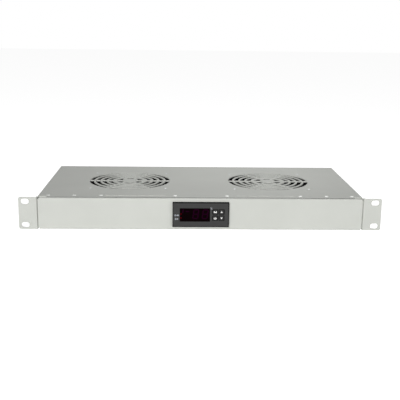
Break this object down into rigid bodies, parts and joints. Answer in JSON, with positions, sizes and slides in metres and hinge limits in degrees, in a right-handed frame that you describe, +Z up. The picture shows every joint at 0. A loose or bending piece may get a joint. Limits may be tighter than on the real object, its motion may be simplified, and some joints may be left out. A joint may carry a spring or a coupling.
{
  "type": "rack fan tray",
  "caption": "One-unit rack tray of folded steel with fans under ring grilles, a thermostat in the front panel and a mains inlet behind.",
  "frame": {"origin": "centre of the four rack slots, on the rear face of the ears", "axes": "+X to the right seen from the front, +Y from the front panel to the rear wall, +Z up"},
  "size_m": [0.4826, 0.2291, 0.0436],
  "materials": {
    "light_grey_powder_coat": "fine matt light grey powder coat on folded steel",
    "zinc_plated_steel": "bright zinc plated",
    "black_coated_aluminium": "die cast, black coated",
    "black_fan_plastic": "moulded glass-filled plastic",
    "ground_steel": "ground",
    "stacked_steel_sheet": "punched and stacked sheet",
    "copper_wire": "enamelled copper",
    "tinned_brass": "tinned",
    "dark_grey_controller_plastic": "moulded, fine satin texture",
    "grey_printed_film": "printed film, satin",
    "tinted_display_lens": "polished dark red tint",
    "black_display_plastic": "moulded",
    "green_circuit_board": "solder mask",
    "transformer_steel": "stacked core with taped coil",
    "relay_plastic": "moulded",
    "green_terminal_plastic": "moulded",
    "black_moulded_plastic": "moulded",
    "clear_sleeve_plastic": "soft sleeve",
    "natural_nylon": "moulded nylon",
    "black_lead_insulation": "extruded",
    "brown_lead_insulation": "extruded",
    "blue_lead_insulation": "extruded",
    "green_yellow_lead_insulation": "extruded, two colours",
    "stainless_probe": "drawn stainless tube"
  },
  "bodies": {
    "chassis": {"cable_clamps": "natural_nylon", "controller_bezel": "dark_grey_controller_plastic", "controller_clip_left": "dark_grey_controller_plastic", "controller_clip_right": "dark_grey_controller_plastic", "controller_housing": "dark_grey_controller_plastic", "controller_overlay": "grey_printed_film", "controller_relay": "relay_plastic", "controller_transformer": "transformer_steel", "display_module": "black_display_plastic", "display_window": "tinted_display_lens", "earth_lead": "green_yellow_lead_insulation", "earth_nuts": "zinc_plated_steel", "earth_stud": "zinc_plated_steel", "fan_bearings": "ground_steel", "fan_frame_left": "black_coated_aluminium", "fan_frame_right": "black_coated_aluminium", "fan_lead_left": "black_lead_insulation", "fan_lead_right": "black_lead_insulation", "fan_plugs": "black_fan_plastic", "fan_screws": "zinc_plated_steel", "fan_tabs": "tinned_brass", "fan_terminals": "black_fan_plastic", "finger_guard_left": "zinc_plated_steel", "finger_guard_right": "zinc_plated_steel", "front_board": "green_circuit_board", "front_panel": "light_grey_powder_coat", "inlet_body": "black_moulded_plastic", "inlet_nuts": "zinc_plated_steel", "inlet_pins": "tinned_brass", "inlet_screws": "zinc_plated_steel", "key_switches": "black_display_plastic", "live_lead": "brown_lead_insulation", "main_board": "green_circuit_board", "neutral_lead": "blue_lead_insulation", "panel_rivets": "zinc_plated_steel", "ring_terminal": "tinned_brass", "sensor_lead": "black_lead_insulation", "sensor_probe": "stainless_probe", "stator_core_left": "stacked_steel_sheet", "stator_core_right": "stacked_steel_sheet", "tab_sleeves": "clear_sleeve_plastic", "terminal_block": "green_terminal_plastic", "terminal_cover": "black_moulded_plastic", "tray_body": "light_grey_powder_coat", "windings_left": "copper_wire", "windings_right": "copper_wire"},
    "rotor_left": {"impeller_left": "black_fan_plastic", "rotor_ring_left": "ground_steel", "fan_shaft_left": "ground_steel"},
    "rotor_right": {"impeller_right": "black_fan_plastic", "rotor_ring_right": "ground_steel", "fan_shaft_right": "ground_steel"},
    "key_set": {"button_set": "dark_grey_controller_plastic", "plunger_set": "black_display_plastic"},
    "key_power": {"button_power": "dark_grey_controller_plastic", "plunger_power": "black_display_plastic"},
    "key_up": {"button_up": "dark_grey_controller_plastic", "plunger_up": "black_display_plastic"},
    "key_down": {"button_down": "dark_grey_controller_plastic", "plunger_down": "black_display_plastic"}
  },
  "joints": [
    {"name": "fan_spin_left", "type": "hinge", "parent": "chassis", "child": "rotor_left", "pos_m": [-0.101, 0.1108, 0], "axis": [0, 0, 1], "continuous": true},
    {"name": "fan_spin_right", "type": "hinge", "parent": "chassis", "child": "rotor_right", "pos_m": [0.101, 0.1108, 0], "axis": [0, 0, 1], "continuous": true},
    {"name": "press_set", "type": "slide", "parent": "chassis", "child": "key_set", "axis": [0, 1, 0], "range_m": [0, 0.0005], "stiffness_N_per_m": 2000},
    {"name": "press_power", "type": "slide", "parent": "chassis", "child": "key_power", "axis": [0, 1, 0], "range_m": [0, 0.0005], "stiffness_N_per_m": 2000},
    {"name": "press_up", "type": "slide", "parent": "chassis", "child": "key_up", "axis": [0, 1, 0], "range_m": [0, 0.0005], "stiffness_N_per_m": 2000},
    {"name": "press_down", "type": "slide", "parent": "chassis", "child": "key_down", "axis": [0, 1, 0], "range_m": [0, 0.0005], "stiffness_N_per_m": 2000}
  ]
}
